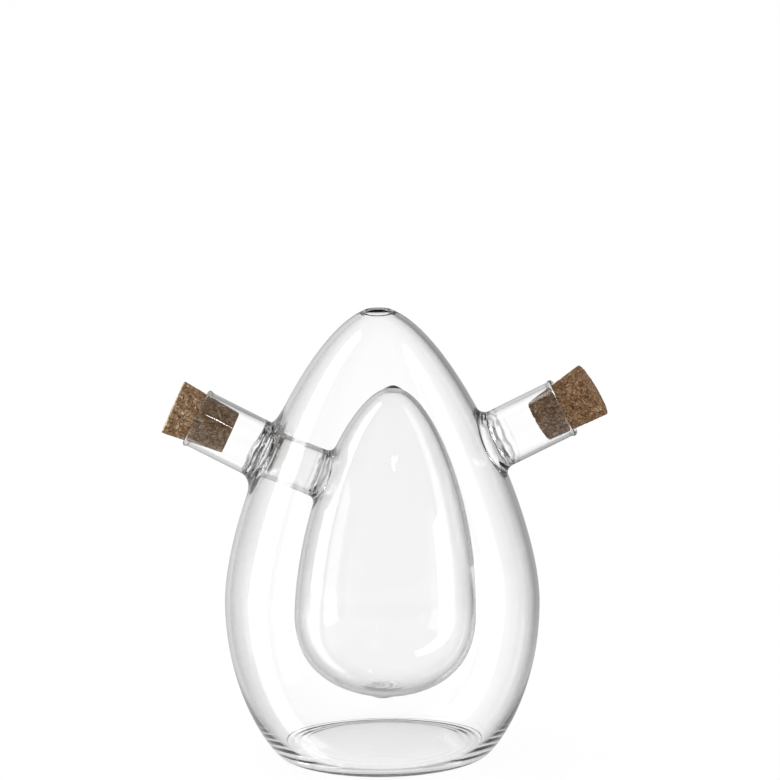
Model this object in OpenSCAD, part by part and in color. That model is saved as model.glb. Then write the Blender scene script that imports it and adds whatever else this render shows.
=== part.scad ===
// Double-walled oil and vinegar cruet, free blown from clear borosilicate glass.
// An egg-shaped outer vessel holds the oil. A second egg hangs inside it and holds
// the vinegar, carried only by the tube that joins it to the left neck.
// The right neck opens into the space between the two eggs.
// Each neck takes a tapered cork. The crown has a small open vent.
// Millimetres, Z up. The origin is the middle of the base on the table,
// with both necks in the XZ plane: vinegar to -X, oil to +X.

/* [Outer vessel] */
// Diameter of the outer egg at its widest
vessel_d = 97; // [88:0.5:110]
// Height of the outer egg's outline, before its crown is opened for the vent
vessel_h = 139.8; // [132:0.2:155]
// Height at which the outer egg is widest
vessel_mid = 47.6; // [42:0.2:54]
// Fullness of the outer egg below its widest ring
vessel_low = 29.7; // [24:0.1:34]
// Fullness of the outer egg above its widest ring
vessel_high = 28; // [22:0.1:34]
// Fullness of the crown
vessel_crown = 19.8; // [14:0.1:26]
// Thickness of the outer wall
vessel_wall = 1.5; // [1.2:0.1:2.4]

/* [Base] */
// Diameter of the ring on which the cruet stands
base_d = 64; // [58:0.5:70]
// Roundness of the heel just outside the standing ring
heel_round = 2; // [1:0.1:6]
// Width of the flat land of the standing ring
base_land = 1.5; // [0.8:0.1:3]
// Rise of the pushed-up middle of the base
punt_h = 1.8; // [0.8:0.1:2.4]
// Height of the inside floor's raised middle above the table
floor_z = 3.5; // [3.4:0.1:6]
// Height of the inside floor above the standing ring
floor_edge = 1.8; // [1.6:0.1:3]
// How far inside the standing ring's edge the floor turns up into the wall
floor_inset = 2.5; // [2:0.1:6]
// Roundness of the corner between the inside floor and the wall
floor_round = 3.5; // [2:0.1:8]

/* [Vent] */
// Bore of the vent in the crown
vent_d = 6.6; // [4:0.1:10]
// Thickness of the fire-polished bead round the vent
vent_bead = 2; // [1.8:0.1:3]

/* [Inner vessel] */
// Diameter of the inner egg at its widest
inner_d = 56; // [48:0.5:60]
// Height of the inner egg's lowest point
inner_base = 18.3; // [14:0.1:22]
// How far the inner egg's tip lies below the outer egg's crown
inner_gap = 25.1; // [22:0.1:31]
// Height at which the inner egg is widest
inner_mid = 43; // [38:0.5:50]
// Fullness of the inner egg below its widest ring
inner_low = 20.3; // [14:0.1:24]
// Flatness of the inner egg's bottom
inner_flat = 9.3; // [6:0.1:16]
// Fullness of the inner egg above its widest ring
inner_high = 35.1; // [28:0.1:40]
// Fullness of the inner egg's tip
inner_tip = 12.2; // [8:0.1:18]
// Thickness of the inner egg's wall
inner_wall = 1.2; // [1:0.1:2]
// Lean of the inner egg towards the oil side
inner_lean = 2.8; // [0:0.1:4]
// Height about which the inner egg leans
lean_z = 26; // [18:1:60]
// Diameter of the sealed drop of glass under the inner egg
drop_d = 15; // [8:0.5:20]
// How far that drop hangs below the egg
drop_h = 1.4; // [0.6:0.1:2.4]
// Diameter of the sealed knob on the inner egg's tip
knob_d = 7; // [4:0.5:10]
// How far that knob stands above the tip
knob_h = 0.7; // [0.4:0.1:1.5]

/* [Necks] */
// Outer diameter of both necks
neck_d = 18.1; // [16:0.1:20]
// Thickness of the neck wall
neck_wall = 1; // [0.8:0.05:1.6]
// Thickness of the rolled bead at each mouth
lip_bead = 1.7; // [1.5:0.1:2.6]
// Rise of the vinegar neck above level, in degrees
vinegar_angle = 27.5; // [20:0.5:34]
// How far below the crown the vinegar neck's axis meets the upright axis
vinegar_drop = 63.6; // [58:0.2:69.8]
// How far the vinegar mouth lies beyond the vessel's widest radius, along the neck's axis
vinegar_neck_out = 14.5; // [9.5:0.1:26.5]
// Radius of the weld fillet outside the vinegar neck
vinegar_weld = 5.5; // [2:0.1:6]
// Rise of the oil neck above level, in degrees
oil_angle = 26.5; // [20:0.5:34]
// How far below the crown the oil neck's axis meets the upright axis
oil_drop = 59.4; // [56:0.2:65.8]
// How far the oil mouth lies beyond the vessel's widest radius, along the neck's axis
oil_neck_out = 13.9; // [9.5:0.1:26.5]
// Radius of the weld fillet outside the oil neck
oil_weld = 3; // [2:0.1:6]

/* [Inner tube] */
// Outer diameter of the tube between the vinegar neck and the inner egg
tube_d = 14.9; // [11:0.1:16]
// Thickness of the tube's wall
tube_wall = 1.2; // [0.9:0.05:1.8]
// Rise of the tube above level, in degrees
tube_angle = 22.3; // [18:0.1:28]
// Radius of the weld fillet where the tube leaves the outer wall
tube_weld = 3; // [1.5:0.1:4]
// Radius of the weld fillet where the tube meets the inner egg
inner_weld = 2.4; // [1.5:0.1:4]

/* [Corks] */
// Diameter of a cork's wide end
cork_d = 17.4; // [17:0.1:19]
// Diameter of a cork's narrow end
cork_tip_d = 13.4; // [11:0.1:14.5]
// Length of a cork
cork_l = 19.6; // [16:0.2:26]
// Gap left all round the vinegar cork at the mouth
vinegar_cork_gap = 0.15; // [0.15:0.05:0.5]
// Droop of the vinegar cork below its neck's axis, in degrees
vinegar_cork_droop = 2.5; // [0:0.1:3]
// Gap left all round the oil cork at the mouth, which sits loosely
oil_cork_gap = 0.45; // [0.2:0.05:0.6]
// Lift of the oil cork above its neck's axis, in degrees
oil_cork_lift = 4.3; // [0:0.1:5]

/* [Hidden] */
$fn = 96;
// Number of straight steps along each free curve, and along each weld fillet
curve_steps = 20;
weld_steps = 5;
// How far a weld's concave side turns before it runs straight into the wall, in degrees
weld_turn = 50;
// How deep the foot of a weld goes into the wall it stands on
weld_bury = 4.5;
// Shape of the pushed-up base, as shares of the standing ring's inner radius
punt_flat = 0.8;
punt_turn = 0.86;
// Shape of the inside floor above it, as shares of the floor's own radius
floor_flat = 0.7;
floor_turn = 0.8;
// How far a cutting or joining shape runs past the surface it passes
over = 2;
// Height above its root at which the vinegar neck's bore starts
root_shelf = 1;

// The inner egg and both necks keep their places under the crown and past the widest ring
inner_top = vessel_h - inner_gap;
vinegar_axis_z = vessel_h - vinegar_drop;
vinegar_reach = vessel_d / 2 + vinegar_neck_out;
oil_axis_z = vessel_h - oil_drop;
oil_reach = vessel_d / 2 + oil_neck_out;

bore_r = neck_d / 2 - neck_wall;
tube_bore_r = tube_d / 2 - tube_wall;
vent_r = vent_d / 2;
// The edge of a mouth lies beyond the middle of its bead, where the bore cuts through
mouth_edge = sqrt(pow(lip_bead / 2, 2) - pow(neck_wall / 2, 2));

// Points and outward normals of a cubic curve that runs up the outside of a profile
function cubic(a, b, c, d) =
    [for (i = [0:curve_steps]) let (t = i / curve_steps, u = 1 - t)
        u * u * u * a + 3 * u * u * t * b + 3 * u * t * t * c + t * t * t * d];
function slope(a, b, c, d, t) =
    let (u = 1 - t) u * u * (b - a) + 2 * u * t * (c - b) + t * t * (d - c);
function outward(v) = [v[1], -v[0]] / norm(v);
// The same curve moved inwards by the wall
function inset(a, b, c, d, wall) =
    let (p = cubic(a, b, c, d))
    [for (i = [0:curve_steps]) p[i] - wall * outward(slope(a, b, c, d, i / curve_steps))];
function without_first(list) = [for (i = [1:len(list) - 1]) list[i]];

// Corner points of the outer egg's curves: foot, widest ring and crown
foot = [base_d / 2, 0];
foot_out = [base_d / 2 + heel_round, 0];
wide_low = [vessel_d / 2, vessel_mid - vessel_low];
wide = [vessel_d / 2, vessel_mid];
wide_high = [vessel_d / 2, vessel_mid + vessel_high];
crown_out = [vessel_crown, vessel_h];
crown = [0, vessel_h];
outer_low_curve = cubic(foot, foot_out, wide_low, wide);
outer_high_curve = cubic(wide, wide_high, crown_out, crown);
outer_curve = concat(outer_low_curve, without_first(outer_high_curve));
// The pushed-up base, from the axis to the standing ring
land_r = base_d / 2 - base_land;
punt_curve = cubic([0, punt_h], [land_r * punt_flat, punt_h], [land_r * punt_turn, 0], [land_r, 0]);
// The inside of the outer egg
floor_r = base_d / 2 - floor_inset;
floor_foot = [floor_r, floor_edge];
floor_curve = cubic([0, floor_z], [floor_r * floor_flat, floor_z], [floor_r * floor_turn, floor_edge],
    floor_foot);
cavity_wide = [vessel_d / 2 - vessel_wall, vessel_mid];
cavity_low_curve = cubic(floor_foot, [floor_r + floor_round, floor_edge],
    [cavity_wide[0], vessel_mid - vessel_low], cavity_wide);
cavity_high_curve = inset(wide, wide_high, crown_out, crown, vessel_wall);
// The bead round the vent sits in the crown's wall
function crown_z(r) = lookup(-r, [for (p = outer_high_curve) [-p[0], p[1]]]);
vent_bead_r = vent_r + vessel_wall / 2;
vent_bead_z = crown_z(vent_bead_r) - vessel_wall / 2;

// Corner points of the inner egg's curves
in_bottom = [0, inner_base];
in_bottom_out = [inner_flat, inner_base];
in_wide_low = [inner_d / 2, inner_mid - inner_low];
in_wide = [inner_d / 2, inner_mid];
in_wide_high = [inner_d / 2, inner_mid + inner_high];
in_tip_out = [inner_tip, inner_top];
in_tip = [0, inner_top];
inner_low_curve = cubic(in_bottom, in_bottom_out, in_wide_low, in_wide);
inner_high_curve = cubic(in_wide, in_wide_high, in_tip_out, in_tip);
inner_curve = concat(inner_low_curve, without_first(inner_high_curve));
inner_cavity_curve = concat(
    inset(in_bottom, in_bottom_out, in_wide_low, in_wide, inner_wall),
    without_first(inset(in_wide, in_wide_high, in_tip_out, in_tip, inner_wall)));
// Radius of the ball whose cap covers a disc of diameter d on the egg and stands h above it
function cap_radius(d, h) = (d * d / 4 + h * h) / (2 * h);
function bottom_z(r) = lookup(r, inner_low_curve);
function tip_z(r) = lookup(-r, [for (p = inner_high_curve) [-p[0], p[1]]]);
drop_r = cap_radius(drop_d, drop_h + bottom_z(drop_d / 2) - inner_base);
knob_r = cap_radius(knob_d, knob_h + inner_top - tip_z(knob_d / 2));

// Where a neck's axis leaves a profile, as a distance from the upright axis
function radius_at(curve, z) = lookup(z, [for (p = curve) [p[1], p[0]]]);
function leaves(curve, z0, angle, near, far, turns = 24) =
    let (mid = (near + far) / 2)
    turns == 0 ? mid
    : mid * cos(angle) < radius_at(curve, z0 + mid * sin(angle))
        ? leaves(curve, z0, angle, mid, far, turns - 1)
        : leaves(curve, z0, angle, near, mid, turns - 1);
vinegar_root = leaves(outer_curve, vinegar_axis_z, vinegar_angle, 0, vessel_d);
oil_root = leaves(outer_curve, oil_axis_z, oil_angle, 0, vessel_d);
vinegar_root_x = vinegar_root * cos(vinegar_angle);
vinegar_root_z = vinegar_axis_z + vinegar_root * sin(vinegar_angle);
// The tube's axis runs down from the vinegar root to the upright axis
tube_axis_z = vinegar_root_z - vinegar_root_x * tan(tube_angle);
tube_l = vinegar_root_x / cos(tube_angle);
// The same axis as the leaning egg sees it: its rise, its start before the egg's own axis
// and the height at which it crosses that axis
tube_rise = tube_angle - inner_lean;
tube_lead = (tube_axis_z - lean_z) * sin(inner_lean) / cos(tube_rise);
tube_cross_z = lean_z + (tube_axis_z - lean_z) * cos(inner_lean) - tube_lead * sin(tube_rise);
tube_root = leaves(inner_curve, tube_cross_z, tube_rise, 0, vessel_d) - tube_lead;

// How far each cork stands out of its mouth, where its taper meets the bore less the gap
cork_taper = (cork_d - cork_tip_d) / 2 / cork_l;
function cork_out(gap) = (cork_d / 2 - (bore_r - gap)) / cork_taper + mouth_edge;
vinegar_cork_out = cork_out(vinegar_cork_gap);
oil_cork_out = cork_out(oil_cork_gap);

// Frames of the two necks and of the tube: +Z runs outwards along the axis
module along(side, z0, angle) translate([0, 0, z0]) rotate([0, side * (90 - angle), 0]) children();
module along_vinegar() along(-1, vinegar_axis_z, vinegar_angle) children();
module along_oil() along(1, oil_axis_z, oil_angle) children();
module along_tube() along(-1, tube_axis_z, tube_angle) children();
module leaning() translate([0, 0, lean_z]) rotate([0, inner_lean, 0]) translate([0, 0, -lean_z]) children();

// A turned shape whose seam lies away from the necks
module turned(points)
    rotate([0, 0, 90]) rotate_extrude() polygon(points);

module outer_solid()
    turned(concat(punt_curve, outer_curve));

module outer_cavity()
    turned(concat(floor_curve, without_first(cavity_low_curve), without_first(cavity_high_curve)));

module inner_solid() leaning() {
    turned(inner_curve);
    // The drop under the egg and the knob on its tip are caps of glass
    translate([0, 0, inner_base - drop_h + drop_r]) sphere(r = drop_r);
    translate([0, 0, inner_top + knob_h - knob_r]) sphere(r = knob_r);
}

module inner_cavity() leaning()
    turned(inner_cavity_curve);

// A weld ring round a tube of radius r that stands on a wall at height zero. Its concave
// side runs out on the tube, and its foot goes on at the same slope until it is buried.
function fillet_points(r, fillet) =
    [for (i = [0:weld_steps]) let (a = weld_turn * i / weld_steps)
        [r + fillet * (1 - cos(a)), fillet * (1 - sin(a))]];
module weld_ring(r, fillet, bury)
    let (side = fillet_points(r, fillet), last = side[weld_steps])
    turned(concat([[0, fillet]], side,
        [last + bury * [tan(weld_turn), -1], [0, last[1] - bury]]));

module neck_outside(root, reach, weld) {
    translate([0, 0, root - over]) cylinder(r = neck_d / 2, h = reach - root + over);
    translate([0, 0, root]) weld_ring(neck_d / 2, weld, weld_bury);
    translate([0, 0, reach]) rotate_extrude()
        translate([neck_d / 2 - neck_wall / 2, 0]) circle(d = lip_bead, $fn = 32);
}

module neck_bore(from, reach)
    translate([0, 0, from]) cylinder(r = bore_r, h = reach - from + over + lip_bead);

// A hollow neck, whose bore starts at a given height above its root
module neck(root, reach, weld, bore_start) difference() {
    neck_outside(root, reach, weld);
    neck_bore(root + bore_start, reach);
}

module vent_bore()
    translate([0, 0, vent_bead_z - vessel_wall - over])
        cylinder(r = vent_r, h = vessel_wall + vent_bead + 2 * over);

// It ends inside the neck's wider bore, and leaves a shoulder there
module tube_bore()
    along_tube() cylinder(r = tube_bore_r, h = tube_l + over);

// The outer egg with its three openings
module shell() difference() {
    outer_solid();
    outer_cavity();
    along_oil() neck_bore(oil_root - over - oil_weld, oil_reach);
    tube_bore();
    vent_bore();
}

module vent_rim() difference() {
    translate([0, 0, vent_bead_z]) rotate_extrude()
        translate([vent_bead_r, 0]) circle(d = vent_bead, $fn = 32);
    vent_bore();
}

module oil_neck() difference() {
    along_oil() neck(oil_root, oil_reach, oil_weld, -over - oil_weld);
    outer_cavity();
}

module vinegar_neck() difference() {
    along_vinegar() neck(vinegar_root, vinegar_reach, vinegar_weld, root_shelf);
    tube_bore();
    outer_cavity();
}

module inner_egg() difference() {
    inner_solid();
    inner_cavity();
    tube_bore();
}

module inner_tube() difference() {
    along_tube() {
        cylinder(r = tube_d / 2, h = tube_l);
        // Weld on the inside of the outer wall, and weld on the inner egg
        translate([0, 0, tube_l - vessel_wall]) mirror([0, 0, 1])
            weld_ring(tube_d / 2, tube_weld, vessel_wall);
        translate([0, 0, tube_root]) weld_ring(tube_d / 2, inner_weld, weld_bury);
    }
    tube_bore();
    inner_cavity();
}

module glass_vessel() color([0.86, 0.9, 0.9, 0.35]) {
    shell();
    vent_rim();
    oil_neck();
    vinegar_neck();
    inner_egg();
    inner_tube();
}

// A tapered cork whose axis turns about the middle of the mouth
module cork(reach, out, turn)
    translate([0, 0, reach]) rotate([0, turn, 0]) translate([0, 0, out - cork_l])
        cylinder(d1 = cork_tip_d, d2 = cork_d, h = cork_l);

module vinegar_cork() color([0.62, 0.43, 0.27])
    along_vinegar() cork(vinegar_reach, vinegar_cork_out, -vinegar_cork_droop);

module oil_cork() color([0.58, 0.39, 0.24])
    along_oil() cork(oil_reach, oil_cork_out, -oil_cork_lift);

glass_vessel();
vinegar_cork();
oil_cork();
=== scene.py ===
import math
import bmesh
import bpy
import numpy as np
from mathutils import Matrix, Vector, noise


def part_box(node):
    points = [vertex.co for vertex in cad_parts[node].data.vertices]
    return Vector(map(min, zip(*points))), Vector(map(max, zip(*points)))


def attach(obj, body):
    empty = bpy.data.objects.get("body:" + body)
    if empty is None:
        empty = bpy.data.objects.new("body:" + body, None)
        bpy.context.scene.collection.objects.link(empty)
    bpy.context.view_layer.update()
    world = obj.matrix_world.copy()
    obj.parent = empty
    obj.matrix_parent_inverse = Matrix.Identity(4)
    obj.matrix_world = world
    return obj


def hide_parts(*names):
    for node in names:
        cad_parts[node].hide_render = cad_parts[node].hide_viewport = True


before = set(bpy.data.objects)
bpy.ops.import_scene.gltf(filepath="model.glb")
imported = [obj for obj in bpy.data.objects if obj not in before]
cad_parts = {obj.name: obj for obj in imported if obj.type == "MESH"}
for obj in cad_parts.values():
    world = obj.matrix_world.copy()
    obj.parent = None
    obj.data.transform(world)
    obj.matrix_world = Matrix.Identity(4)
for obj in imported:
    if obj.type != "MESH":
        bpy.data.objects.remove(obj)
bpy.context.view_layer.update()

glassLow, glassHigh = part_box("glass_vessel")
drawnWidth = 97.0  # of the outer egg
mm = (glassHigh.y - glassLow.y) / drawnWidth  # one millimetre of the drawing, as the frame has it
scene = bpy.context.scene
print("frame loaded, one drawing millimetre is", round(mm * 1000, 4), "mm")


# Shader maths: a wire wraps a socket, and an expression on wires adds Math nodes

class Wire:
    def __init__(self, graph, socket):
        self.graph = graph
        self.socket = socket

    def out(self, name):
        return Wire(self.graph, self.socket.node.outputs[name])

    def maths(self, operation, first, second=0.0):
        return self.graph.add("ShaderNodeMath", {"operation": operation}, {0: first, 1: second})

    def __add__(self, other):
        return self.maths("ADD", self, other)

    def __radd__(self, other):
        return self.maths("ADD", other, self)

    def __sub__(self, other):
        return self.maths("SUBTRACT", self, other)

    def __rsub__(self, other):
        return self.maths("SUBTRACT", other, self)

    def __mul__(self, other):
        return self.maths("MULTIPLY", self, other)

    def __rmul__(self, other):
        return self.maths("MULTIPLY", other, self)

    def __neg__(self):
        return self.maths("MULTIPLY", self, -1.0)

    def __abs__(self):
        return self.maths("ABSOLUTE", self)

    def sine(self):
        return self.maths("SINE", self)

    def higher(self, other):
        return self.maths("MAXIMUM", self, other)

    def lower(self, other):
        return self.maths("MINIMUM", self, other)

    def ramp(self, low, high, toLow=0.0, toHigh=1.0):
        return self.graph.add("ShaderNodeMapRange", {"interpolation_type": "SMOOTHSTEP"},
            {"Value": self, "From Min": low, "From Max": high, "To Min": toLow, "To Max": toHigh})


class Graph:
    def __init__(self, tree):
        self.tree = tree
        tree.nodes.clear()

    def add(self, kind, settings=None, sockets=None, out=0):
        node = self.tree.nodes.new(kind)
        for name, value in (settings or {}).items():
            if name == "stops":
                ramp = node.color_ramp
                while len(ramp.elements) < len(value):
                    ramp.elements.new(0.5)
                for element, (place, colour) in zip(ramp.elements, value):
                    element.position = place
                    element.color = (*colour, 1.0)
            else:
                setattr(node, name, value)
        for name, value in (sockets or {}).items():
            if isinstance(value, Wire):
                self.tree.links.new(value.socket, node.inputs[name])
            else:
                node.inputs[name].default_value = value
        return Wire(self, node.outputs[out] if len(node.outputs) else None)

    def mixColour(self, share, first, second):
        values = {0: share, 6: first, 7: second}
        for key in (6, 7):
            if not isinstance(values[key], Wire):
                values[key] = (*values[key], 1.0)
        return self.add("ShaderNodeMix", {"data_type": "RGBA"}, values, 2)

    def mixed(self, share, first, second):
        return self.add("ShaderNodeMixShader", {}, {0: share, 1: first, 2: second})

    def vector(self, operation, first, second=(0, 0, 0), out=0):
        return self.add("ShaderNodeVectorMath", {"operation": operation}, {0: first, 1: second}, out)

    def cloud(self, place, scale, detail, out="Fac"):
        sockets = {"Vector": place, "Scale": scale, "Detail": detail}
        return self.add("ShaderNodeTexNoise", {}, sockets).out(out)


def newMaterial(name):
    material = bpy.data.materials.new(name)
    material.use_nodes = True
    return material, Graph(material.node_tree)


# Camera

cameraPlan = {
    "distance": 2.2,
    "elevation": 14.8,
    "azimuth": 3.5,  # towards the oil side
    "focalPixels": 7097,
    "framePixels": 780,
    "basePixel": (384.5, 750.3),  # where the middle of the base lands
    "roll": 0.85,  # the top leans left
    "sensor": 36.0,
    "nearest": 0.1,
}


def buildCamera(plan):
    rise = math.radians(plan["elevation"])
    turn = math.radians(plan["azimuth"])
    place = plan["distance"] * Vector((
        math.cos(rise) * math.sin(turn), -math.cos(rise) * math.cos(turn), math.sin(rise)))
    back = place.normalized()
    right = Vector((0, 0, 1)).cross(back).normalized()
    level = Matrix((right, back.cross(right), back)).transposed()
    half = plan["framePixels"] / 2
    across, down = ((pixel - half) / plan["focalPixels"] for pixel in plan["basePixel"])
    seen = Vector((across, -down, -1)).normalized()
    swing = seen.rotation_difference(Vector((0, 0, -1))).to_matrix()
    spin = Matrix.Rotation(math.radians(-plan["roll"]), 3, "Z")
    data = bpy.data.cameras.new("photoCamera")
    data.sensor_width = plan["sensor"]
    data.sensor_fit = "HORIZONTAL"
    data.lens = plan["focalPixels"] / plan["framePixels"] * plan["sensor"]
    data.clip_start = plan["nearest"]
    camera = bpy.data.objects.new("photoCamera", data)
    camera.matrix_world = Matrix.Translation(place) @ (level @ spin @ swing).to_4x4()
    scene.collection.objects.link(camera)
    scene.camera = camera


buildCamera(cameraPlan)
print("camera set")


# Outline curves, in millimetres of the drawing: distance from the axis, height

def bezier(a, b, c, d, t):
    u = 1 - t
    return u ** 3 * a + 3 * u * u * t * b + 3 * u * t * t * c + t ** 3 * d


def cubic(a, b, c, d, count):
    handles = [np.array(point, float) for point in (a, b, c, d)]
    return bezier(*handles, np.linspace(0, 1, count)[:, None])


def unit(rows):
    return rows / np.linalg.norm(rows, axis=-1, keepdims=True)


def stepLengths(points):
    return np.linalg.norm(np.diff(points, axis=0), axis=1)


def inset(points, wall):
    slope = unit(np.gradient(points, axis=0))
    return points + wall * np.stack([-slope[:, 1], slope[:, 0]], 1)


def arc(centre, radius, start, end, count):
    angle = np.radians(np.linspace(start, end, count))
    return np.stack([centre[0] + radius * np.cos(angle), centre[1] + radius * np.sin(angle)], 1)


def bridge(before, after, count, stretch=0.4):
    start, end = before[-1], after[0]
    gap = np.linalg.norm(end - start) * stretch
    leave = start + gap * unit(before[-1] - before[-2])
    arrive = end - gap * unit(after[1] - after[0])
    return cubic(start, leave, arrive, end, count)


tiny = 1e-6  # points closer than this are one


def joined(parts):
    out = [parts[0]]
    for part in parts[1:]:
        out.append(part[1:] if np.linalg.norm(part[0] - out[-1][-1]) < tiny else part)
    return np.concatenate(out)


searchPlan = {
    "nearest": 1.0,  # along a tube, in mm, where the search for a wall starts and ends
    "farthest": 80.0,
    "halvings": 50,
}


# A surface turned about Z: a fine outline, with the rings and sides of its mesh

class Turned:
    def __init__(self, pieces, sides, tilt=None):
        self.outline = joined([points for points, rings in pieces])
        self.length = np.concatenate([[0], np.cumsum(stepLengths(self.outline))])
        self.slope = unit(np.gradient(self.outline, self.length, axis=0))
        rings = [np.array([0.0])]
        for points, count in pieces:
            span = stepLengths(points).sum()
            rings.append(rings[-1][-1] + np.linspace(0, span, count + 1)[1:])
        self.marks = [ring[-1] for ring in rings]
        self.rings = np.concatenate(rings)
        self.sides = sides
        self.angles = -math.pi / 2 + 2 * math.pi * np.arange(sides) / sides
        self.tilt = np.eye(4) if tilt is None else tilt
        self.untilt = np.linalg.inv(self.tilt)
        self.windows = []

    def spanOf(self, piece):
        return self.marks[piece], self.marks[piece + 1]

    def toOwn(self, points, place=1.0):
        return points @ self.untilt[:3, :3].T + place * self.untilt[:3, 3]

    def toCruet(self, points, place=1.0):
        return points @ self.tilt[:3, :3].T + place * self.tilt[:3, 3]

    def at(self, angle, along):
        r = np.interp(along, self.length, self.outline[:, 0])
        z = np.interp(along, self.length, self.outline[:, 1])
        return np.stack([r * np.cos(angle), r * np.sin(angle), z], -1)

    def normalAt(self, angle, along):
        dr = np.interp(along, self.length, self.slope[:, 0])
        dz = np.interp(along, self.length, self.slope[:, 1])
        return unit(np.stack([dz * np.cos(angle), dz * np.sin(angle), -dr], -1))

    def nearest(self, points, span):
        first, last = np.searchsorted(self.length, span)
        radius = np.hypot(points[:, 0], points[:, 1])
        line = self.outline[first:last]
        gap = (radius[:, None] - line[None, :, 0]) ** 2 + (points[:, 2, None] - line[None, :, 1]) ** 2
        index = first + np.clip(gap.argmin(1), 1, last - first - 2)
        offset = np.stack([radius, points[:, 2]], 1) - self.outline[index]
        along = self.length[index] + (offset * self.slope[index]).sum(1)
        angle = (np.arctan2(points[:, 1], points[:, 0]) + math.pi / 2) % (2 * math.pi) - math.pi / 2
        return angle, along

    def outside(self, points, span):
        first, last = np.searchsorted(self.length, span)
        line = self.outline[first:last]
        if line[0, 1] > line[-1, 1]:
            line = line[::-1]
        return np.hypot(points[:, 0], points[:, 1]) - np.interp(points[:, 2], line[:, 1], line[:, 0])

    def meets(self, span, tube, radius, turn):
        low = np.full(turn.shape, searchPlan["nearest"])
        high = np.full(turn.shape, searchPlan["farthest"])
        for step in range(searchPlan["halvings"]):
            mid = (low + high) / 2
            out = self.outside(tube.ring(turn, radius, mid), span) > 0
            low, high = np.where(out, low, mid), np.where(out, mid, high)
        return (low + high) / 2


class Tube:
    def __init__(self, start, axis, across=(0, 1, 0), up=None):
        self.start = np.array(start, float)
        self.axis = np.array(axis, float)
        self.across = np.array(across, float)
        if up is None:
            up = np.array([-self.axis[2], 0.0, self.axis[0]]) * np.sign(self.axis[0])
        self.up = up

    def ring(self, turn, radius, along):
        spoke = np.cos(turn)[:, None] * self.across + np.sin(turn)[:, None] * self.up
        radius = np.broadcast_to(radius, turn.shape)[:, None]
        along = np.broadcast_to(along, turn.shape)[:, None]
        return self.start + radius * spoke + along * self.axis


def slantedTube(side, height, rise):
    rise = math.radians(rise)
    return Tube((0, 0, height), (side * math.cos(rise), 0, math.sin(rise)))


class GlassMesh:
    def __init__(self):
        self.points = []
        self.normals = []
        self.faces = []
        self.count = 0

    def add(self, points, normals=None):
        self.points.append(points)
        self.normals.append(np.full(points.shape, np.nan) if normals is None else normals)
        start = self.count
        self.count += len(points)
        return np.arange(start, self.count)

    def stitch(self, first, second):
        for k in range(len(first)):
            n = (k + 1) % len(first)
            self.faces.append((first[k], first[n], second[n], second[k]))

    def strip(self, loops, start, end):
        before = start
        for loop in loops:
            after = self.add(loop)
            self.stitch(before, after)
            before = after
        self.stitch(before, end)

    def turned(self, surface):
        rows = []
        for along in surface.rings:
            pole = np.interp(along, surface.length, surface.outline[:, 0]) < tiny
            angles = np.zeros(1) if pole else surface.angles
            ring = np.full(len(angles), along)
            rows.append(self.add(surface.toCruet(surface.at(angles, ring)),
                surface.toCruet(surface.normalAt(angles, ring), 0.0)))
        for j in range(len(rows) - 1):
            low, high = rows[j], rows[j + 1]
            for i in range(surface.sides):
                n = (i + 1) % surface.sides
                if any(c <= i < c + w and r <= j < r + t for c, r, w, t in surface.windows):
                    continue
                if len(low) == 1:
                    self.faces.append((low[0], high[n], high[i]))
                elif len(high) == 1:
                    self.faces.append((low[i], low[n], high[0]))
                else:
                    self.faces.append((low[i], low[n], high[n], high[i]))
        return rows


# A hole in a turned surface where a tube meets it. The wall's grid runs into the tube's
# rings, and a weld with its own spread on the wall and on the tube joins the two.

openingPlan = {
    "wallRings": 8,
    "weldRings": 11,
    "straight": 0.6,  # how much of its spread a weld's curve keeps to the wall or the tube
}


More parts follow.
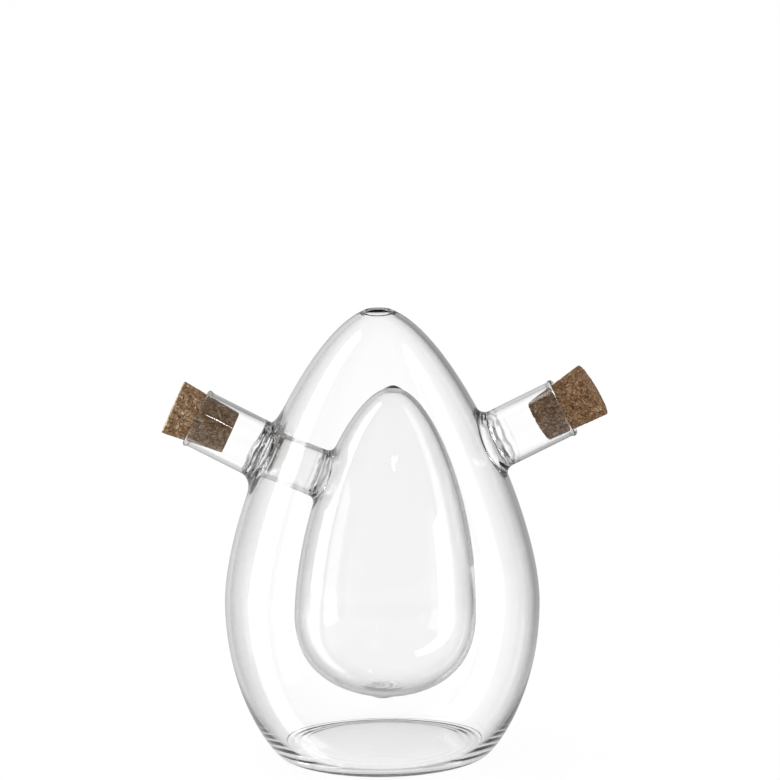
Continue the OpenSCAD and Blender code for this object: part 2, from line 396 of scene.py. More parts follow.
class Opening:
    def __init__(self, surface, span, tube, radius, onWall, onTube, direction, window):
        self.surface = surface
        own = Tube(surface.toOwn(tube.start), surface.toOwn(tube.axis, 0.0),
            surface.toOwn(tube.across, 0.0), surface.toOwn(tube.up, 0.0))
        edge = self.cutWindow(span, own, *window)
        edgeAngle = np.array([surface.angles[i] for i, j in edge])
        edgeAlong = np.array([surface.rings[j] for i, j in edge])
        offset = surface.at(edgeAngle, edgeAlong) - own.start
        turn = np.arctan2(offset @ own.up, offset @ own.across)
        order = np.argsort(turn)
        self.edge = [edge[k] for k in order]
        self.edgeAngle, self.edgeAlong = edgeAngle[order], edgeAlong[order]
        self.turn = turn = turn[order]
        hit = surface.meets(span, own, radius, turn)
        corner = own.ring(turn, radius, hit)
        normal = surface.normalAt(*surface.nearest(corner, span))
        spoke = own.ring(turn, 1.0, 0.0) - own.start
        away = unit(spoke - (spoke * normal).sum(1)[:, None] * normal)
        onWall = np.broadcast_to(onWall(turn) if callable(onWall) else onWall, turn.shape)[:, None]
        onTube = np.broadcast_to(onTube(turn) if callable(onTube) else onTube, turn.shape)
        self.footAngle, self.footAlong = surface.nearest(corner + onWall * away, span)
        foot = surface.at(self.footAngle, self.footAlong)
        footNormal = surface.normalAt(self.footAngle, self.footAlong)
        inward = corner - foot
        inward = unit(inward - (inward * footNormal).sum(1)[:, None] * footNormal)
        self.top = hit + direction * onTube
        top = own.ring(turn, radius, self.top)
        first = foot + openingPlan["straight"] * onWall * inward
        second = top - openingPlan["straight"] * direction * onTube[:, None] * own.axis
        self.weld = [surface.toCruet(bezier(foot, first, second, top, t))
            for t in np.linspace(0, 1, openingPlan["weldRings"] + 1)[1:]]

    def cutWindow(self, span, tube, wide, tall):
        surface = self.surface
        middle = tube.ring(np.zeros(1), 0.0, surface.meets(span, tube, 0.0, np.zeros(1)))
        angle, along = surface.nearest(middle, span)
        column = int(round((angle[0] - surface.angles[0]) / (2 * math.pi / surface.sides))) - wide // 2
        row = int(np.abs(surface.rings - along[0]).argmin()) - tall // 2
        surface.windows.append((column, row, wide, tall))
        edge = [(column + k, row) for k in range(wide)]
        edge += [(column + wide, row + k) for k in range(tall)]
        edge += [(column + wide - k, row + tall) for k in range(wide)]
        edge += [(column, row + tall - k) for k in range(tall)]
        return edge

    def join(self, mesh, rows):
        before = np.array([rows[j][i % self.surface.sides] for i, j in self.edge])
        for k in range(1, openingPlan["wallRings"] + 1):
            share = k / openingPlan["wallRings"]
            angle = (1 - share) * self.edgeAngle + share * self.footAngle
            along = (1 - share) * self.edgeAlong + share * self.footAlong
            after = mesh.add(self.surface.toCruet(self.surface.at(angle, along)),
                self.surface.toCruet(self.surface.normalAt(angle, along), 0.0))
            mesh.stitch(before, after)
            before = after
        self.foot = before


# The glass: an outer egg, a leaning inner egg, two necks and the tube between them

glassPlan = {
    "wideRadius": 48.5, "wideHeight": 47.6, "crownHeight": 139.8, "wall": 1.5,
    "bellyPull": 29.7, "shoulderPull": 28.0, "crownPull": 19.8,  # handles of the outer egg's curves
    "baseRadius": 32.0, "heelPull": 2.0, "landRadius": 30.5,
    "puntRise": 1.8, "puntFlat": 0.8, "puntFoot": 0.86,  # flat and foot are shares of the land
    "floorHeight": 3.5, "floorEdge": 1.8, "floorRadius": 29.5, "floorRound": 3.5,
    "floorFlat": 0.7, "floorFoot": 0.8,  # shares of the floor's radius
    "ventRadius": 3.3, "ventBead": 0.78, "ventArc": (62, 298), "ventSeat": 4.2, "ventShoulder": 4.9,
    "innerRadius": 28.0, "innerHeight": 43.0, "innerBase": 18.3, "innerTop": 114.7, "innerWall": 1.2,
    "innerBellyPull": 20.3, "innerBasePull": 9.3, "innerShoulderPull": 35.1, "innerTopPull": 12.2,
    "innerLean": 2.8, "leanHeight": 26.0,
    "dropRadius": 7.5, "dropDepth": 1.4, "knobRadius": 3.6, "knobRise": 0.7,
    "neckRadius": 9.05, "neckBore": 8.05,
    "beadRadius": 0.85, "beadArc": (-36, 96), "beadBack": 1.3, "beadInside": 0.25,
    "vinegarRise": 27.5, "vinegarHeight": 76.2, "vinegarReach": 63.0,
    "oilRise": 26.5, "oilHeight": 80.4, "oilReach": 62.4,
    "tubeRise": 22.3, "tubeRadius": 7.45, "tubeBore": 6.25,
    "vinegarWeldOnWall": (5.2, 2.2), "vinegarWeldOnNeck": (4.2, -2.7),  # below, and what the top adds
    "weld": 3.0, "seatWeld": 2.4, "boreRound": 1.0,
    "collar": 1.2, "tubeCollar": 0.8,
    "shoulderAbove": 2.4, "shoulderBelow": 1.2, "shoulderPulls": (1.6, 1.9),
    "outerSides": 160, "innerSides": 144,
    "boreRings": 16, "shoulderRings": 9, "tubeRings": 13, "skinRings": 9,
    "outerWindow": (24, 32), "innerWindow": (28, 28),  # columns and rows that an opening takes
}
upperPiece, insidePiece, innerUpperPiece = 3, 7, 1  # where these stand in the lists of outlines


def outerEgg(g):
    land, base, wall, edge = g["landRadius"], g["baseRadius"], g["wall"], g["floorRadius"]
    wide = (g["wideRadius"], g["wideHeight"])
    wideInside = (g["wideRadius"] - wall, g["wideHeight"])
    low, top = g["wideHeight"] - g["bellyPull"], g["crownHeight"]
    punt = cubic((0, g["puntRise"]), (land * g["puntFlat"], g["puntRise"]), (land * g["puntFoot"], 0),
        (land, 0), 80)
    ring = np.array([(land, 0.0), (land + (base - land) / 2, 0.0), (base, 0.0)])
    lower = cubic((base, 0), (base + g["heelPull"], 0), (wide[0], low), wide, 300)
    upper = cubic(wide, (wide[0], wide[1] + g["shoulderPull"]), (g["crownPull"], top), (0, top), 600)
    inside = inset(upper, wall)
    inside[0] = wideInside
    beadHeight = np.interp(g["ventSeat"], upper[::-1, 0], upper[::-1, 1]) - wall / 2
    bead = arc((g["ventRadius"] + g["ventBead"], beadHeight), g["ventBead"], *g["ventArc"], 60)
    upper = upper[upper[:, 0] > g["ventShoulder"]]
    inside = inside[inside[:, 0] > g["ventShoulder"]][::-1]
    cavity = cubic((edge, g["floorEdge"]), (edge + g["floorRound"], g["floorEdge"]),
        (wideInside[0], low), wideInside, 300)[::-1]
    floor = cubic((0, g["floorHeight"]), (edge * g["floorFlat"], g["floorHeight"]),
        (edge * g["floorFoot"], g["floorEdge"]), (edge, g["floorEdge"]), 80)[::-1]
    # Each outline goes with the number of rings that the mesh has along it
    return [(punt, 16), (ring, 2), (lower, 46), (upper, 76), (bridge(upper, bead, 20), 6), (bead, 22),
        (bridge(bead, inside, 20), 6), (inside, 74), (cavity, 42), (floor, 14)]


def innerEgg(g, wall):
    wide = (g["innerRadius"], g["innerHeight"])
    base, top = g["innerBase"], g["innerTop"]
    lower = cubic((0, base), (g["innerBasePull"], base), (wide[0], wide[1] - g["innerBellyPull"]), wide, 300)
    upper = cubic(wide, (wide[0], wide[1] + g["innerShoulderPull"]), (g["innerTopPull"], top), (0, top), 500)
    if wall:
        whole = inset(joined([lower, upper]), wall)
        whole[0, 0] = whole[-1, 0] = 0.0
        lower, upper = whole[:len(lower)], whole[len(lower) - 1:]
    else:
        drop = np.clip(1 - (lower[:, 0] / g["dropRadius"]) ** 2, 0, None) ** 2
        knob = np.clip(1 - (upper[:, 0] / g["knobRadius"]) ** 2, 0, None) ** 2
        lower[:, 1] -= g["dropDepth"] * drop
        upper[:, 1] += g["knobRise"] * knob
    return [(lower, 44), (upper, 84)]


def leanMatrix(g):
    angle = math.radians(g["innerLean"])
    pivot = Matrix.Translation((0, 0, g["leanHeight"]))
    return np.array(pivot @ Matrix.Rotation(angle, 4, "Y") @ pivot.inverted())


# A neck's mouth: up the outside, over the rolled bead and down the bore

def mouthPath(g, reach, start, end):
    outer, bore = g["neckRadius"], g["neckBore"]
    outside = np.linspace((outer, start), (outer, reach - g["beadBack"]), 8)
    roll = arc(((outer + bore) / 2, reach), g["beadRadius"], *g["beadArc"], 15)
    inside = np.linspace((bore, reach + g["beadInside"]), (bore, end), g["boreRings"])
    return joined([outside, bridge(outside, roll, 6), roll, bridge(roll, inside, 7), inside])


def collar(tube, opening, radius, along, count=3):
    first = tube.ring(opening.turn, radius, opening.top)
    last = tube.ring(opening.turn, radius, along)
    return [(1 - t) * first + t * last for t in np.linspace(0, 1, count + 2)[1:-1]]


def oilNeckLoops(g, neck, root, bore):
    start, end = root.top.max() + g["collar"], bore.top.max() + g["collar"]
    path = mouthPath(g, g["oilReach"], start, end)
    shares = np.clip((np.arange(len(path)) - len(path) + g["boreRings"]) / (g["boreRings"] - 1), 0, 1)
    loops = root.weld + collar(neck, root, g["neckRadius"], start)
    for (radius, along), s in zip(path, shares):
        loops.append(neck.ring((1 - s) * root.turn + s * bore.turn, radius, along))
    return loops + collar(neck, bore, g["neckBore"], end)[::-1] + bore.weld[::-1]


# The same outside, then down through the shoulder and the tube into the inner egg

def vinegarNeckLoops(g, neck, root, rootAlong, tube, tubeLength, mouth):
    start = root.top.max() + g["collar"]
    path = mouthPath(g, g["vinegarReach"], start, rootAlong + g["shoulderAbove"])
    loops = root.weld + collar(neck, root, g["neckRadius"], start)
    loops += [neck.ring(root.turn, radius, along) for radius, along in path]
    shoulder, end = tubeLength - g["shoulderBelow"], mouth.top.max() + g["collar"]
    above, below = loops[-1], tube.ring(root.turn, g["tubeBore"], shoulder)
    first = above - g["shoulderPulls"][0] * neck.axis
    second = below + g["shoulderPulls"][1] * tube.axis
    for t in np.linspace(0, 1, g["shoulderRings"] + 1)[1:]:
        loops.append(bezier(above, first, second, below, t))
    for s in np.linspace(0, 1, g["tubeRings"] + 1)[1:]:
        turn = (1 - s) * root.turn + s * mouth.turn
        loops.append(tube.ring(turn, g["tubeBore"], (1 - s) * shoulder + s * end))
    return loops + collar(tube, mouth, g["tubeBore"], end)[::-1] + mouth.weld[::-1]


# The tube's outside, from the outer wall down to the inner egg

def tubeSkinLoops(g, tube, root, seat):
    start, end = root.top.min() - g["tubeCollar"], seat.top.max() + g["tubeCollar"]
    loops = root.weld + collar(tube, root, g["tubeRadius"], start)
    for s in np.linspace(0, 1, g["skinRings"]):
        turn = (1 - s) * root.turn + s * seat.turn
        loops.append(tube.ring(turn, g["tubeRadius"], (1 - s) * start + s * end))
    return loops + collar(tube, seat, g["tubeRadius"], end)[::-1] + seat.weld[::-1]


def buildGlass(g):
    lean = leanMatrix(g)
    outer = Turned(outerEgg(g), g["outerSides"])
    innerOut = Turned(innerEgg(g, 0.0), g["innerSides"], lean)
    innerIn = Turned(innerEgg(g, g["innerWall"]), g["innerSides"], lean)
    upper, inside = outer.spanOf(upperPiece), outer.spanOf(insidePiece)
    vinegarNeck = slantedTube(-1, g["vinegarHeight"], g["vinegarRise"])
    oilNeck = slantedTube(1, g["oilHeight"], g["oilRise"])

    def uneven(below, added):
        return lambda turn: below + added * (1 + np.sin(turn)) / 2

    # The tube starts where the vinegar neck's axis meets the outer wall
    rootAlong = outer.meets(upper, vinegarNeck, 0.0, np.zeros(1))[0]
    rootPlace = vinegarNeck.start + rootAlong * vinegarNeck.axis
    rise = math.radians(g["tubeRise"])
    innerTube = slantedTube(-1, rootPlace[2] + rootPlace[0] * math.tan(rise), g["tubeRise"])
    tubeLength = -rootPlace[0] / math.cos(rise)

    window, innerWindow = g["outerWindow"], g["innerWindow"]
    vinegarRoot = Opening(outer, upper, vinegarNeck, g["neckRadius"],
        uneven(*g["vinegarWeldOnWall"]), uneven(*g["vinegarWeldOnNeck"]), 1, window)
    oilRoot = Opening(outer, upper, oilNeck, g["neckRadius"], g["weld"], g["weld"], 1, window)
    oilBore = Opening(outer, inside, oilNeck, g["neckBore"], g["boreRound"], g["boreRound"], 1, window)
    tubeRoot = Opening(outer, inside, innerTube, g["tubeRadius"], g["weld"], g["weld"], -1, window)
    tubeSeat = Opening(innerOut, innerOut.spanOf(innerUpperPiece), innerTube, g["tubeRadius"],
        g["seatWeld"], g["seatWeld"], 1, innerWindow)
    tubeMouth = Opening(innerIn, innerIn.spanOf(innerUpperPiece), innerTube, g["tubeBore"],
        g["boreRound"], g["boreRound"], 1, innerWindow)

    mesh = GlassMesh()
    for surface, openings in ((outer, (vinegarRoot, oilRoot, oilBore, tubeRoot)),
            (innerOut, (tubeSeat,)), (innerIn, (tubeMouth,))):
        rows = mesh.turned(surface)
        for opening in openings:
            opening.join(mesh, rows)
    mesh.strip(oilNeckLoops(g, oilNeck, oilRoot, oilBore), oilRoot.foot, oilBore.foot)
    mesh.strip(vinegarNeckLoops(g, vinegarNeck, vinegarRoot, rootAlong, innerTube, tubeLength, tubeMouth),
        vinegarRoot.foot, tubeMouth.foot)
    mesh.strip(tubeSkinLoops(g, innerTube, tubeRoot, tubeSeat), tubeRoot.foot, tubeSeat.foot)
    return mesh


def toObject(name, mesh):
    points = np.concatenate(mesh.points) * mm
    normals = np.concatenate(mesh.normals)
    used = np.unique(np.concatenate([np.array(f) for f in mesh.faces]))
    renumber = np.full(len(points), -1)
    renumber[used] = np.arange(len(used))
    faces = [tuple(int(renumber[k]) for k in face) for face in mesh.faces]
    data = bpy.data.meshes.new(name)
    data.from_pydata(points[used].tolist(), [], faces)
    data.validate()
    work = bmesh.new()
    work.from_mesh(data)
    bmesh.ops.recalc_face_normals(work, faces=work.faces)
    loose = sum(1 for edge in work.edges if len(edge.link_faces) != 2)
    work.to_mesh(data)
    work.free()
    data.polygons.foreach_set("use_smooth", [True] * len(data.polygons))
    own = np.zeros(len(data.vertices) * 3, np.float32)
    data.vertex_normals.foreach_get("vector", own)
    own = own.reshape(-1, 3)
    known = normals[used]
    sign = np.sign((known * own).sum(1))[:, None]
    final = np.where(np.isnan(known), own, known * sign)
    data.normals_split_custom_set_from_vertices(final.tolist())
    piece = bpy.data.objects.new(name, data)
    scene.collection.objects.link(piece)
    print(name, "faces", len(faces), "open edges", loose)
    return piece


glass = toObject("blown_glass", buildGlass(glassPlan))
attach(glass, "vessel")
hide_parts("glass_vessel")


# Corks: pressed granules, tapered, with worn edges

corkPlan = {
    "wideRadius": 8.7, "tipRadius": 6.7, "length": 19.6, "edge": 0.55, "sides": 176,
    "grain": 1.4, "groove": 0.17, "grooveWidth": 0.22, "bend": 0.25, "bendScale": 1.7,
    "roughness": 0.07, "roughLevel": 0.8, "roughScale": 3.1,
    "pit": 0.35, "pitFrom": 0.32, "pitSpan": 0.4, "pitScale": 1.3, "pitShift": (7, 3, 5),
    "vinegarGap": 0.15, "oilGap": 0.45, "vinegarDroop": 2.5, "oilLift": 4.3,
}


def corkOutline(c):
    tip, wide, length, edge = c["tipRadius"], c["wideRadius"], c["length"], c["edge"]
    low = np.linspace((0, 0), (tip - edge, 0), 26)
    lowEdge = arc((tip - edge, edge), edge, -90, 0, 6)
    side = np.linspace((tip, edge), (wide, length - edge), 80)
    highEdge = arc((wide - edge, length - edge), edge, 0, 90, 6)
    high = np.linspace((wide - edge, length), (0, length), 32)
    return [(low, 24), (lowEdge, 4), (side, 76), (highEdge, 4), (high, 30)]


def corkFrame(g, c, tube, reach, gap, tilt):
    mouthEdge = math.sqrt(g["beadRadius"] ** 2 - ((g["neckRadius"] - g["neckBore"]) / 2) ** 2)
    taper = (c["wideRadius"] - c["tipRadius"]) / c["length"]
    out = (c["wideRadius"] - g["neckBore"] + gap) / taper + mouthEdge
    rise = math.atan2(tube.axis[2], abs(tube.axis[0])) + math.radians(tilt)
    side = math.copysign(1, tube.axis[0])
    axis = np.array([side * math.cos(rise), 0.0, math.sin(rise)])
    mouth = tube.start + reach * tube.axis
    matrix = np.eye(4)
    matrix[:3, 0] = np.cross((0, 1, 0), axis)
    matrix[:3, 1] = (0, 1, 0)
    matrix[:3, 2] = axis
    matrix[:3, 3] = mouth + (out - c["length"]) * axis
    return matrix


def grainDepth(c, point):
    place = Vector(point) / c["grain"]
    near = noise.voronoi(place + c["bend"] * noise.noise_vector(place * c["bendScale"]))[0]
    groove = max(0.0, 1 - (near[1] - near[0]) / c["grooveWidth"])
    rough = noise.fractal(place * c["roughScale"], 1.0, 2.0, 4)
    pit = (noise.noise(place * c["pitScale"] + Vector(c["pitShift"])) - c["pitFrom"]) / c["pitSpan"]
    depth = c["groove"] * groove ** 2 + c["roughness"] * (c["roughLevel"] + rough)
    return max(0.0, depth + c["pit"] * min(max(0.0, pit), 1.0))


def buildCork(name, c, matrix, body, node):
    mesh = GlassMesh()
    mesh.turned(Turned(corkOutline(c), c["sides"], matrix))
    points = np.concatenate(mesh.points)
    depth = np.array([grainDepth(c, point) for point in points])
    mesh.points = [points - np.concatenate(mesh.normals) * depth[:, None]]
    mesh.normals = [np.full(points.shape, np.nan)]
    piece = toObject(name, mesh)
    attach(piece, body)
    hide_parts(node)
    return piece


vinegarNeck = slantedTube(-1, glassPlan["vinegarHeight"], glassPlan["vinegarRise"])
oilNeck = slantedTube(1, glassPlan["oilHeight"], glassPlan["oilRise"])
vinegarFrame = corkFrame(glassPlan, corkPlan, vinegarNeck, glassPlan["vinegarReach"],
    corkPlan["vinegarGap"], -corkPlan["vinegarDroop"])
oilFrame = corkFrame(glassPlan, corkPlan, oilNeck, glassPlan["oilReach"], corkPlan["oilGap"],
    corkPlan["oilLift"])
vinegarCork = buildCork("vinegar_cork_grain", corkPlan, vinegarFrame, "vinegar_stopper", "vinegar_cork")
oilCork = buildCork("oil_cork_grain", corkPlan, oilFrame, "oil_stopper", "oil_cork")


# Clear glass, with painted shade in its Base Color. Bands are in mm of the drawing, and turns run from 0,
# facing the eye, to 1, edge on.

glassLook = {
    "ior": 1.47,
    "roughness": 0.0,
    # painted shade where the glass turns edge on
    "edgeTurn": (0.3, 1.0),
    "edgeShade": 0.4,
    "rimTurn": (0.72, 0.96),
    "rimShade": 0.25,
    "darkest": 0.97,
    "absorbColour": (0.55, 0.55, 0.55),
    "absorbDensity": 5.0,
    "shadow": (0.93, 0.94, 0.94),
    "ripple": 0.0001,
    "flowScale": 130.0,
    "flowDetail": 1.5,
    "waveScale": 45.0,
    "waveDetail": 1.0,
    "waves": 0.15,
    # painted shade on the necks' undersides
    "neckBand": (36, 42),
    "underSlope": (0.2, 0.85),
    "underTurn": (0.45, 0.95),
    "underShade": 0.5,
    "floorTop": (4, 6),
    "floorShadeShare": 0.25,  # how much of the painted edge shade the floor shows
    # painted shade at the heel and in the floor's arcs
    "heelBand": (29, 32),
    "heelShade": 0.6,
    "arcTop": (4, 7),
    "arcFrom": (22, 27),
    "arcTo": (30.5, 32),
    "arcSpacing": 2.4,
    "arcFlow": 1.5,
    "arcs": 0.25,
    "arcShade": 0.05,
    # the weld rings bump the glass and also paint shade into its colour
    "weldShade": 0.68,
    "weldFade": 0.7,  # where a weld's rings start to fade, as a share of their reach
    "weldEdge": 0.4,
    "welds": (
        {"centre": (-35.8, 0, 94.4), "side": -1, "rise": 27.5, "reach": 15.5, "half": 4.8,
            "spacing": 2.5, "flow": 4.5, "depth": 1.35},
        {"centre": (36.2, 0, 98.5), "side": 1, "rise": 26.5, "reach": 14.0, "half": 4.3,
            "spacing": 2.5, "flow": 3.5, "depth": 0.75},
        {"centre": (-18.5, 0, 87.6), "side": -1, "rise": 22.3, "reach": 12, "half": 3.5,
            "spacing": 2.3, "flow": 3.5, "depth": 0.8},
        {"centre": (0.6, 0, 17.4), "side": 1, "rise": 70, "reach": 8.5, "half": 5,
            "spacing": 2.2, "flow": 9, "depth": 0.55},
    ),
}


def band(wire, limits, toLow=0.0, toHigh=1.0):
    return wire.ramp(limits[0] * mm, limits[1] * mm, toLow, toHigh)


def weldRings(graph, look, place, flow, weld):
    centre = tuple(value * mm for value in weld["centre"])
    rise = math.radians(weld["rise"])
    axis = (weld["side"] * math.cos(rise), 0.0, math.sin(rise))
    away = graph.vector("SUBTRACT", place, centre)
    along = graph.vector("DOT_PRODUCT", away, axis, 1)
    reach = graph.vector("LENGTH", away, out=1)
    mask = band(reach, (weld["reach"] * look["weldFade"], weld["reach"]), weld["depth"], 0.0)
    mask = mask * band(abs(along), (weld["half"] * look["weldEdge"], weld["half"]), 1.0, 0.0)
    return ((along + flow * weld["flow"] * mm) * (2 * math.pi / (weld["spacing"] * mm))).sine() * mask


def clearGlass(look):
    material, graph = newMaterial("clearBlownGlass")
    place = graph.add("ShaderNodeTexCoord").out("Object")
    axes = graph.add("ShaderNodeSeparateXYZ", {}, {0: place})
    height = axes.out("Z")
    fromAxis = graph.vector("LENGTH", graph.vector("MULTIPLY", place, (1, 1, 0)), out=1)
    facing = graph.add("ShaderNodeLayerWeight", {}, {"Blend": 0.5}).out("Facing")
    flow = graph.cloud(place, look["flowScale"], look["flowDetail"])

    # Melted glass runs in rings round the two roots and the tube's foot, and swirls at the sealed drop. The
    # rings bump the surface, and where they rise they also darken its colour in painted shade, for the dark
    # lines that thick melted glass refracts.
    rings = sum(weldRings(graph, look, place, flow, weld) for weld in look["welds"])

    # The pushed-up floor has faint arcs near its heel, which bump it and darken it in painted shade. The
    # painted edge shade is weaker on the floor, so its edges stay paler, and stronger again at the heel, a
    # painted shade band.
    arcs = (fromAxis * (2 * math.pi / (look["arcSpacing"] * mm)) + flow * look["arcFlow"]).sine()
    arcs = arcs * band(height, look["arcTop"], 1.0, 0.0)
    arcs = arcs * band(fromAxis, look["arcFrom"]) * band(fromAxis, look["arcTo"], 1.0, 0.0)
    floor = band(height, look["floorTop"], look["floorShadeShare"], 1.0)
    floor = floor.higher(band(fromAxis, look["heelBand"], 0.0, look["heelShade"]))

    # Painted shade: the necks are darker below
    normal = graph.add("ShaderNodeSeparateXYZ", {}, {0: graph.add("ShaderNodeNewGeometry").out("Normal")})
    under = (-normal.out("Z")).ramp(*look["underSlope"]) * band(abs(axes.out("X")), look["neckBand"])
    under = under * facing.ramp(*look["underTurn"]) * look["underShade"]

    # Painted shade: the glass greys where it turns edge on, for the dark that its edges refract and reflect
    edge = facing.ramp(*look["edgeTurn"]) * look["edgeShade"] + facing.ramp(*look["rimTurn"]) * look["rimShade"]
    # All painted shade: edges, neck undersides, weld rings, heel and floor arcs darken the Base Color
    dark = edge * floor + under + rings.higher(0.0) * look["weldShade"] + arcs.higher(0.0) * look["arcShade"]
    waves = graph.cloud(place, look["waveScale"], look["waveDetail"]) * look["waves"]
    surface = graph.add("ShaderNodeBsdfPrincipled", {}, {
        "Base Color": graph.mixColour(dark.lower(look["darkest"]), (1, 1, 1), (0, 0, 0)),
        "Roughness": look["roughness"], "IOR": look["ior"], "Transmission Weight": 1.0,
        "Normal": graph.add("ShaderNodeBump", {}, {"Strength": 1.0, "Distance": look["ripple"],
            "Height": rings + arcs * look["arcs"] + waves})})
    shadow = graph.add("ShaderNodeBsdfTransparent", {}, {"Color": (*look["shadow"], 1.0)})
    light = graph.add("ShaderNodeLightPath")
    absorb = graph.add("ShaderNodeVolumeAbsorption", {}, {
        "Color": (*look["absorbColour"], 1.0), "Density": look["absorbDensity"]})
    graph.add("ShaderNodeOutputMaterial", {}, {
        "Surface": graph.mixed(light.out("Is Shadow Ray"), surface, shadow), "Volume": absorb})
    return material


# Pressed cork. Scales count to the metre.

corkLook = {
    "dark": (0.045, 0.022, 0.011),
    "brown": (0.175, 0.09, 0.04),
    "tan": (0.31, 0.178, 0.088),
    "pale": (0.45, 0.31, 0.19),
    # top of the ramp: the brightest grains, and the wide end where painted light lifts it
    "brightGrainAndLitEnd": (0.72, 0.57, 0.4),
    "stops": ((0.12, "dark"), (0.34, "brown"), (0.6, "tan"), (0.86, "pale"), (1.0, "brightGrainAndLitEnd")),
    "granules": 1500.0,
    "chunks": 640.0,
    "bendScale": 1400.0,
    "bend": 0.0009,
    "fineScale": 3600.0,
    "patchScale": 700.0,
    "tones": {"granules": 0.4, "chunks": 0.28, "fine": 0.75, "patch": 0.5, "level": -0.49},
    "endTurn": (0.35, 0.75),  # how far a spot faces out of the neck, for the painted light on the wide end
    "chunkCrack": 0.07,
    "granuleCrack": 0.12,
    "granuleShare": 0.85,
    "crackPatch": (0.3, 0.52),
    "roughness": 0.88,
    "sheen": 0.2,
    "relief": 0.7,
    "reliefDepth": 0.0002,
    "fineRelief": 0.7,
    "crackRelief": 0.5,
}
corkKinds = {
    "litVinegarCork": {"lightLift": 0.17, "endLight": 0.9},  # painted light: its tone is lifted for the light from the left, and its wide end, facing the lamps, paler still
    "brownCork": {"lightLift": 0.03, "endLight": 0.0},
}


def pressedCork(name, look, matrix):
    material, graph = newMaterial(name)
    place = graph.add("ShaderNodeTexCoord").out("Object")
    wobble = graph.cloud(place, look["bendScale"], 2.0, "Color")
    bent = graph.vector("ADD", place, graph.vector("MULTIPLY", wobble, (look["bend"],) * 3))

    def cells(scale):
        sockets = {"Vector": bent, "Scale": scale}
        tone = graph.add("ShaderNodeTexVoronoi", {"feature": "F1"}, sockets).out("Color")
        gap = graph.add("ShaderNodeTexVoronoi", {"feature": "DISTANCE_TO_EDGE"}, sockets).out("Distance")
        return graph.add("ShaderNodeSeparateColor", {}, {0: tone}).out("Red"), gap

    granule, granuleGap = cells(look["granules"])
    chunk, chunkGap = cells(look["chunks"])
    fine = graph.cloud(place, look["fineScale"], 4.0)
    patch = graph.cloud(place, look["patchScale"], 3.0)
    tones = look["tones"]
    tone = granule * tones["granules"] + chunk * tones["chunks"] + fine * tones["fine"]
    # Painted light: each cork's tone is lifted for how much light falls on it
    tone = tone + patch * tones["patch"] + (tones["level"] + corkKinds[name]["lightLift"])
    normal = graph.add("ShaderNodeNewGeometry").out("Normal")
    # Painted light: the wide end, facing out of the neck, is lifted paler
    end = graph.vector("DOT_PRODUCT", normal, tuple(matrix[:3, 2]), 1).ramp(*look["endTurn"])
    tone = tone + end * corkKinds[name]["endLight"]
    stops = [(spot, look[colour]) for spot, colour in look["stops"]]
    colour = graph.add("ShaderNodeValToRGB", {"stops": stops}, {"Fac": tone})

    # 1 is sound cork and 0 the bottom of a crack, and the cracks come and go
    granuleEdge = granuleGap.ramp(0.0, look["granuleCrack"]) * look["granuleShare"]
    sound = chunkGap.ramp(0.0, look["chunkCrack"]) * (1 - look["granuleShare"] + granuleEdge)
    sound = 1 - (1 - sound) * patch.ramp(*look["crackPatch"])
    relief = fine * look["fineRelief"] + sound * look["crackRelief"]
    surface = graph.add("ShaderNodeBsdfPrincipled", {}, {
        "Base Color": graph.mixColour(sound, look["dark"], colour),
        "Roughness": look["roughness"], "Specular IOR Level": look["sheen"],
        "Normal": graph.add("ShaderNodeBump", {}, {
            "Strength": look["relief"], "Distance": look["reliefDepth"], "Height": relief})})
    graph.add("ShaderNodeOutputMaterial", {}, {"Surface": surface})
    return material


glass.data.materials.append(clearGlass(glassLook))
vinegarCork.data.materials.append(pressedCork("litVinegarCork", corkLook, vinegarFrame))
oilCork.data.materials.append(pressedCork("brownCork", corkLook, oilFrame))
print("materials made")


# Floor, world and lamps

studioPlan = {
    "floorRadius": 3.0,
    "floorSides": 96,
    "shadowShare": 0.08,  # how much of the floor's white takes the cruet's shadow
    "roomTones": {"front": 0.22, "left": 0.75, "right": 0.3},  # what the glass mirrors
    "roomReach": 0.5,
    "floorTones": {"front": 0.8, "left": 0.85, "right": 0.5},
    "floorReach": 0.2,  # from the axis, in metres, where the floor's tones are full
    "throughGlass": 1.1,
    "overhead": 0.5,  # what glass shows of the room above the white
    "horizon": (0.1, 0.4),  # between which rises of a ray the white ends
    "polish": 0.5,  # how much of the lights the floor shows to the glass
    "polishBlur": 0.02,
    "daylight": 0.95,
}
lampPlans = {
    "leftSoftbox": {"place": (-0.6, 0.085, 0.6), "target": (0, 0.085, 0.6),
        "size": (0.215, 1.2), "radiance": 4.0},
    "leftFill": {"place": (-0.6, -0.2, 0.16), "target": (0, -0.2, 0.16),
        "size": (0.2, 0.32), "radiance": 1.2},
    "rightSoftbox": {"place": (0.6, -0.06, 0.08), "target": (0, -0.06, 0.08),
        "size": (0.24, 0.16), "radiance": 3.5},
    "sparkLamp": {"place": (0.254, -0.77, 0.663), "target": (-0.055, 0, 0.107),
        "size": (0.032, 0.045), "radiance": 45.0},
}
bouncePlan = {"all": 24, "through": 24, "mirrored": 10, "seeThrough": 16}


# A level tone for each side, from X and Y of a place or of a ray's direction

def roomTone(graph, tones, coordinates, reach):
    axes = graph.add("ShaderNodeSeparateXYZ", {}, {0: coordinates})
    front, left, right = ((tones[side],) * 3 for side in ("front", "left", "right"))
    behind = graph.mixColour(axes.out("X").ramp(-reach, reach), left, right)
    return graph.mixColour(axes.out("Y").ramp(0.0, reach), front, behind)


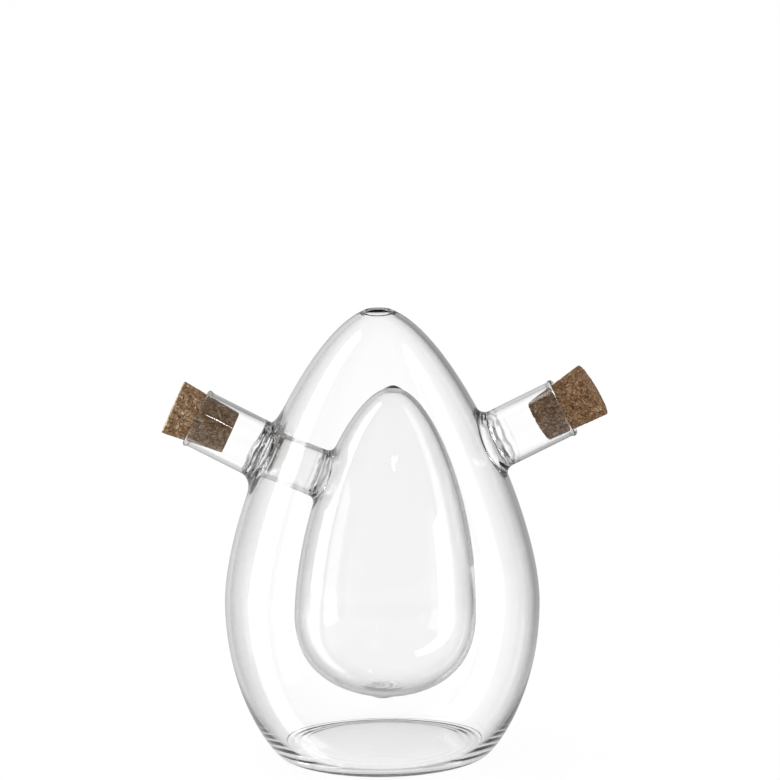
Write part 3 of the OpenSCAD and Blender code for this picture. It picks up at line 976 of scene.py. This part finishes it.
def whiteTable(plan):
    material, graph = newMaterial("whiteTable")

    def glow(strength, colour=(1, 1, 1, 1)):
        return graph.add("ShaderNodeEmission", {}, {"Color": colour, "Strength": strength})

    light = graph.add("ShaderNodeLightPath")
    through = light.out("Is Transmission Ray")
    place = graph.add("ShaderNodeTexCoord").out("Object")
    tone = roomTone(graph, plan["floorTones"], place, plan["floorReach"])
    matt = graph.add("ShaderNodeBsdfDiffuse", {}, {"Color": (1, 1, 1, 1)})
    polish = graph.add("ShaderNodeBsdfGlossy", {}, {"Color": (1, 1, 1, 1), "Roughness": plan["polishBlur"]})
    seen = light.out("Is Camera Ray").higher(through) * (1 - plan["shadowShare"])
    surface = graph.mixed(seen, matt, graph.mixed(through, glow(1.0), glow(plan["throughGlass"])))
    mirrored = light.out("Glossy Depth").lower(1.0)
    surface = graph.mixed(mirrored, surface, graph.mixed(plan["polish"], glow(1.0, tone), polish))
    graph.add("ShaderNodeOutputMaterial", {}, {"Surface": surface})
    return material


def buildFloor(plan):
    data = bpy.data.meshes.new("tableTop")
    angle = np.arange(plan["floorSides"]) * 2 * math.pi / plan["floorSides"]
    points = [(plan["floorRadius"] * math.cos(a), plan["floorRadius"] * math.sin(a), 0.0) for a in angle]
    data.from_pydata(points, [], [tuple(range(len(points)))])
    data.materials.append(whiteTable(plan))
    floor = bpy.data.objects.new("tableTop", data)
    scene.collection.objects.link(floor)


def buildWorld(plan):
    world = bpy.data.worlds.new("studio")
    scene.world = world
    world.use_nodes = True
    graph = Graph(world.node_tree)
    light = graph.add("ShaderNodeLightPath")
    ray = graph.add("ShaderNodeTexCoord").out("Generated")
    rise = graph.add("ShaderNodeSeparateXYZ", {}, {0: ray}).out("Z")

    def backdrop(strength, colour=(1, 1, 1, 1)):
        return graph.add("ShaderNodeBackground", {}, {"Color": colour, "Strength": strength})

    tone = roomTone(graph, plan["roomTones"], ray, plan["roomReach"])
    behind = graph.mixed(rise.ramp(*plan["horizon"]),
        backdrop(plan["throughGlass"]), backdrop(plan["overhead"]))
    surface = graph.mixed(light.out("Is Transmission Ray"), backdrop(plan["daylight"]), behind)
    surface = graph.mixed(light.out("Glossy Depth").lower(1.0), surface, backdrop(1.0, tone))
    surface = graph.mixed(light.out("Is Camera Ray"), surface, backdrop(1.0))
    graph.add("ShaderNodeOutputWorld", {}, {"Surface": surface})


def buildLamp(name, plan):
    data = bpy.data.lights.new(name, "AREA")
    data.shape = "RECTANGLE"
    data.size, data.size_y = plan["size"]
    data.energy = plan["radiance"] * math.pi * data.size * data.size_y
    lamp = bpy.data.objects.new(name, data)
    lamp.location = plan["place"]
    lamp.rotation_euler = (Vector(plan["target"]) - Vector(plan["place"])).to_track_quat("-Z", "Y").to_euler()
    scene.collection.objects.link(lamp)
    return lamp


buildFloor(studioPlan)
buildWorld(studioPlan)
lamps = {name: buildLamp(name, plan) for name, plan in lampPlans.items()}

# The spark draws one thin highlight on the glass and leaves the floor alone
cruetOnly = bpy.data.collections.new("cruetOnly")
for piece in (glass, vinegarCork, oilCork):
    cruetOnly.objects.link(piece)
lamps["sparkLamp"].visible_diffuse = False
lamps["sparkLamp"].light_linking.receiver_collection = cruetOnly

scene.view_settings.view_transform = "Standard"
scene.cycles.max_bounces = bouncePlan["all"]
scene.cycles.transmission_bounces = bouncePlan["through"]
scene.cycles.glossy_bounces = bouncePlan["mirrored"]
scene.cycles.transparent_max_bounces = bouncePlan["seeThrough"]
print("studio set")
